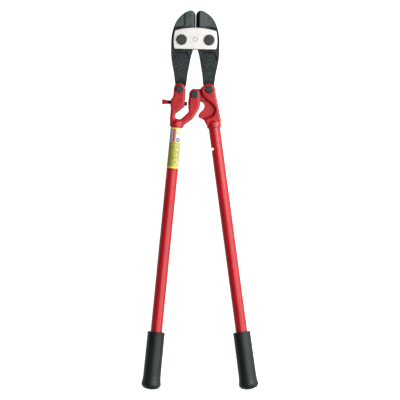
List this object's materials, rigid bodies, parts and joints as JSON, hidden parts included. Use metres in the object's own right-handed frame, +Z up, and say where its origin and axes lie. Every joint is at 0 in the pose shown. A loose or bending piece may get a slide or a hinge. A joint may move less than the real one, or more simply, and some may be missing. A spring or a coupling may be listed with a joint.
{
  "type": "bolt cutters",
  "caption": "Long-handled bolt cutters: forged compound-lever jaws between two cover plates, tubular steel handles, rubber grips and an adjusting screw.",
  "frame": {"origin": "middle of the base of the object's box, on the surface that the tool lies on", "axes": "+X across the head to the right, +Y from the grips to the blades, +Z up through the thickness"},
  "size_m": [0.2866, 0.931, 0.048],
  "materials": {
    "plated_steel": "bright nickel-plated plate with a fine satin grain",
    "dark_bolt_steel": "black-oxide steel, lightly polished on the heads",
    "dark_forging": "dark oiled forging, ground at the cutting edges",
    "red_forging": "gloss red enamel over a forged surface",
    "red_tube": "gloss red enamel on drawn steel tube",
    "grip_rubber": "matt black moulded rubber",
    "label_film": "glossy printed label without lettering"
  },
  "bodies": {
    "head": {"front_cover_plate": "plated_steel", "rear_cover_plate": "plated_steel", "left_blade_bolt": "dark_bolt_steel", "right_blade_bolt": "dark_bolt_steel", "blade_washers": "dark_bolt_steel", "blade_nuts": "dark_bolt_steel"},
    "left_jaw": {"left_jaw": "dark_forging"},
    "right_jaw": {"right_jaw": "dark_forging"},
    "left_handle": {"left_knuckle": "red_forging", "left_tube": "red_tube", "left_grip": "grip_rubber", "label_sleeve": "label_film", "left_link_bolt": "dark_bolt_steel", "left_link_washer": "dark_bolt_steel", "left_link_nut": "dark_bolt_steel", "main_pivot_bolt": "dark_bolt_steel", "main_pivot_washer": "dark_bolt_steel", "main_pivot_nut": "dark_bolt_steel"},
    "right_handle": {"right_knuckle": "red_forging", "right_tube": "red_tube", "right_grip": "grip_rubber", "right_link_bolt": "dark_bolt_steel", "right_link_washer": "dark_bolt_steel", "right_link_nut": "dark_bolt_steel"},
    "adjusting_screw": {"adjusting_screw": "dark_bolt_steel"},
    "screw_spade": {"screw_spade": "red_forging"}
  },
  "joints": [
    {"name": "left_jaw_pivot", "type": "hinge", "parent": "head", "child": "left_jaw", "pos_m": [-0.05925, 0.3917, 0.024], "axis": [0, 0, 1], "range_deg": [-0.5, 7]},
    {"name": "right_jaw_pivot", "type": "hinge", "parent": "head", "child": "right_jaw", "pos_m": [0.00805, 0.3917, 0.024], "axis": [0, 0, -1], "range_deg": [-0.5, 7]},
    {"name": "left_link_pivot", "type": "hinge", "parent": "left_jaw", "child": "left_handle", "pos_m": [-0.0616, 0.2712, 0.024], "axis": [0, 0, -1], "range_deg": [-3.25, 45.5]},
    {"name": "right_link_pivot", "type": "hinge", "parent": "right_jaw", "child": "right_handle", "pos_m": [0.0104, 0.2712, 0.024], "axis": [0, 0, 1], "range_deg": [-3.25, 45.5]},
    {"name": "adjusting_screw_travel", "type": "slide", "parent": "left_handle", "child": "adjusting_screw", "axis": [-0.9968, 0.0805, 0], "range_m": [0, 0.006]},
    {"name": "spade_turn", "type": "hinge", "parent": "adjusting_screw", "child": "screw_spade", "pos_m": [-0.0433, 0.2352, 0.024], "axis": [-0.9968, 0.0805, 0], "range_deg": [0, 1440]}
  ],
  "couplings": [
    {"joint": "left_jaw_pivot", "follows": "left_link_pivot", "ratio": 0.15385},
    {"joint": "right_jaw_pivot", "follows": "left_link_pivot", "ratio": 0.15385},
    {"joint": "right_link_pivot", "follows": "left_link_pivot", "ratio": 1},
    {"joint": "spade_turn", "follows": "adjusting_screw_travel", "rad_per_m": 4188.8}
  ]
}
